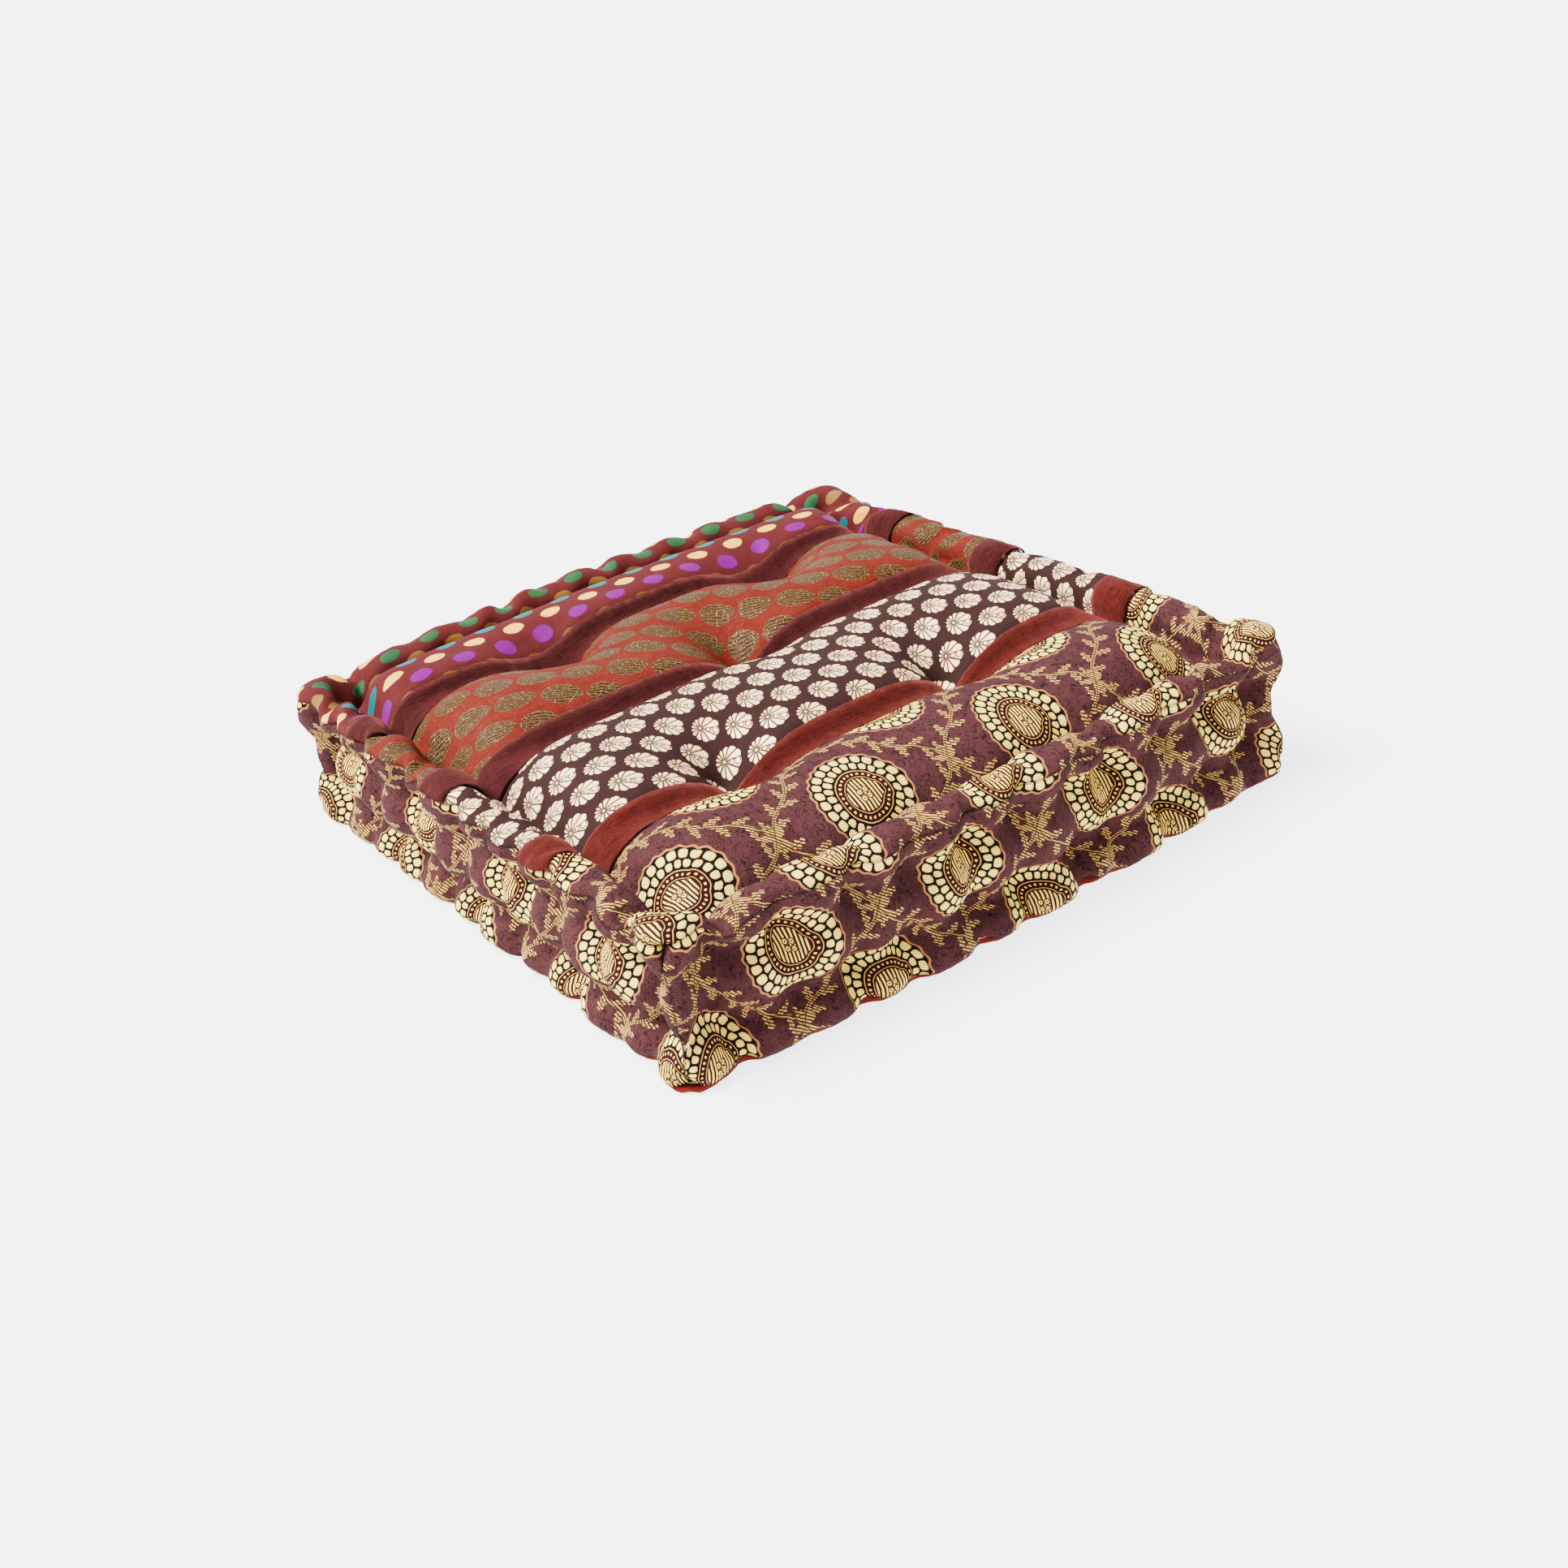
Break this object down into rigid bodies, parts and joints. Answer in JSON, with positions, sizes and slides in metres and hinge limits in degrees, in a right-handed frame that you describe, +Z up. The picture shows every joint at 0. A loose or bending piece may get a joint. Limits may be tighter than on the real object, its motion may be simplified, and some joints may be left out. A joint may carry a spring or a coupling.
{
  "type": "floor cushion",
  "caption": "Square tufted floor cushion with hand-stitched rolled edges, its top pieced from brocade strips and velvet ribbons.",
  "frame": {"origin": "centre of the underside, on the surface that the cushion rests on", "axes": "+Z up, through the thickness; +X along the ribbons; -Y towards the medallion strip"},
  "size_m": [0.4, 0.4, 0.0889],
  "materials": {
    "medallion_brocade": "plum woven brocade with pale gold medallions and leafy vines",
    "rosette_brocade": "dusty rose woven brocade with silvery rosettes",
    "leaf_brocade": "coral woven brocade with olive-gold leaves and metallic thread",
    "dotted_brocade": "brick-red weave with rows of coloured oval dots",
    "velvet_ribbon": "oxblood chenille velvet, streaked lengthwise",
    "red_cotton": "plain deep-red cotton",
    "cotton_filling": "undyed cotton wadding",
    "cotton_twine": "brown waxed cotton twine"
  },
  "bodies": {
    "root": {"bottom_panel": "red_cotton", "boxing_back": "medallion_brocade", "boxing_front": "medallion_brocade", "boxing_left": "medallion_brocade", "boxing_right": "medallion_brocade", "cotton_filling": "cotton_filling", "roll_bottom_back": "medallion_brocade", "roll_bottom_front": "medallion_brocade", "roll_bottom_left": "medallion_brocade", "roll_bottom_right": "medallion_brocade", "roll_corner_back_left": "medallion_brocade", "roll_corner_back_right": "medallion_brocade", "roll_corner_front_left": "medallion_brocade", "roll_corner_front_right": "medallion_brocade", "roll_top_back": "dotted_brocade", "roll_top_front": "medallion_brocade", "roll_top_left": "medallion_brocade", "roll_top_right": "medallion_brocade", "stitching_bottom_back": "cotton_twine", "stitching_bottom_front": "cotton_twine", "stitching_bottom_left": "cotton_twine", "stitching_bottom_right": "cotton_twine", "stitching_corner_back_left": "cotton_twine", "stitching_corner_back_right": "cotton_twine", "stitching_corner_front_left": "cotton_twine", "stitching_corner_front_right": "cotton_twine", "stitching_top_back": "cotton_twine", "stitching_top_front": "cotton_twine", "stitching_top_left": "cotton_twine", "stitching_top_right": "cotton_twine", "top_strip_dotted": "dotted_brocade", "top_strip_leaf": "leaf_brocade", "top_strip_medallion": "medallion_brocade", "top_strip_rosette": "rosette_brocade", "tuft_tie_1": "cotton_twine", "tuft_tie_2": "cotton_twine", "tuft_tie_3": "cotton_twine", "tuft_tie_4": "cotton_twine", "tuft_tie_5": "cotton_twine", "velvet_ribbon_back": "velvet_ribbon", "velvet_ribbon_front": "velvet_ribbon", "velvet_ribbon_middle": "velvet_ribbon"}
  },
  "joints": []
}
